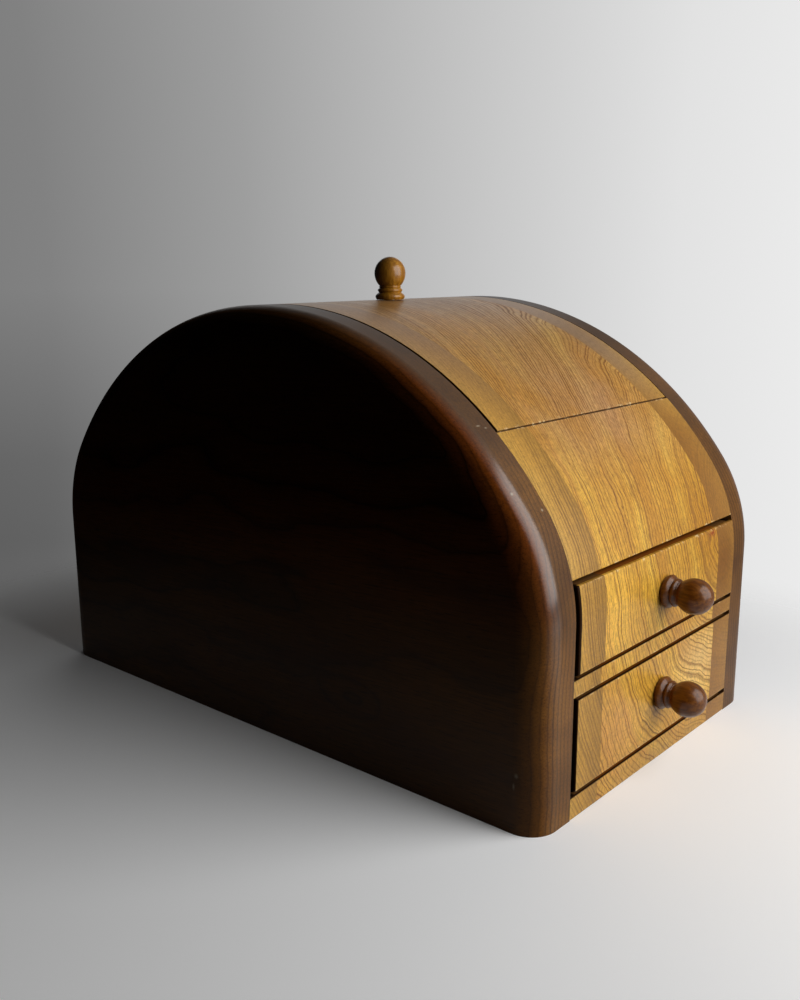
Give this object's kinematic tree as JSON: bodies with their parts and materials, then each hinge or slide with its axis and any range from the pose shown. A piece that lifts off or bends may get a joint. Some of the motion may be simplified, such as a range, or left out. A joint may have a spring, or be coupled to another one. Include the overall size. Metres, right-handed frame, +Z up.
{
  "type": "wooden jewelry box",
  "caption": "Arched bandsawn wooden jewelry box with dark side panels, a lift-off lid over a lined well, and stacked drawers with turned knobs.",
  "frame": {"origin": "centre of the flat underside, on the table", "axes": "+Z up, +Y to the back, so the drawers face -Y, and +X to the right of someone facing the drawers"},
  "size_m": [0.1762, 0.3206, 0.2078],
  "materials": {
    "dark_walnut": "dark walnut, sanded and oiled to a satin sheen",
    "golden_board": "golden ring-porous hardwood under a satin varnish",
    "brown_strip": "mid-brown hardwood under a satin varnish",
    "turned_knob": "turned hardwood, stained brown and polished",
    "felt_lining": "wool felt"
  },
  "bodies": {
    "carcass": {"left_side_panel": "dark_walnut", "right_side_panel": "dark_walnut", "body_left_strip": "brown_strip", "body_core": "golden_board", "body_right_strip": "brown_strip", "well_felt": "felt_lining"},
    "lid": {"lid_left_strip": "brown_strip", "lid_core": "golden_board", "lid_right_strip": "brown_strip", "lid_knob": "turned_knob"},
    "upper_drawer": {"upper_drawer_left_side": "brown_strip", "upper_drawer_left_strip": "brown_strip", "upper_drawer_core": "golden_board", "upper_drawer_right_strip": "brown_strip", "upper_drawer_right_side": "brown_strip", "upper_drawer_felt": "felt_lining", "upper_drawer_knob": "turned_knob"},
    "lower_drawer": {"lower_drawer_left_side": "brown_strip", "lower_drawer_left_strip": "brown_strip", "lower_drawer_core": "golden_board", "lower_drawer_right_strip": "brown_strip", "lower_drawer_right_side": "brown_strip", "lower_drawer_felt": "felt_lining", "lower_drawer_knob": "turned_knob"}
  },
  "joints": [
    {"name": "lid_lift", "type": "slide", "parent": "carcass", "child": "lid", "axis": [0, 0, 1], "range_m": [0, 0.1]},
    {"name": "upper_drawer_slide", "type": "slide", "parent": "carcass", "child": "upper_drawer", "axis": [0, -1, 0], "range_m": [0, 0.2]},
    {"name": "lower_drawer_slide", "type": "slide", "parent": "carcass", "child": "lower_drawer", "axis": [0, -1, 0], "range_m": [0, 0.2]}
  ]
}
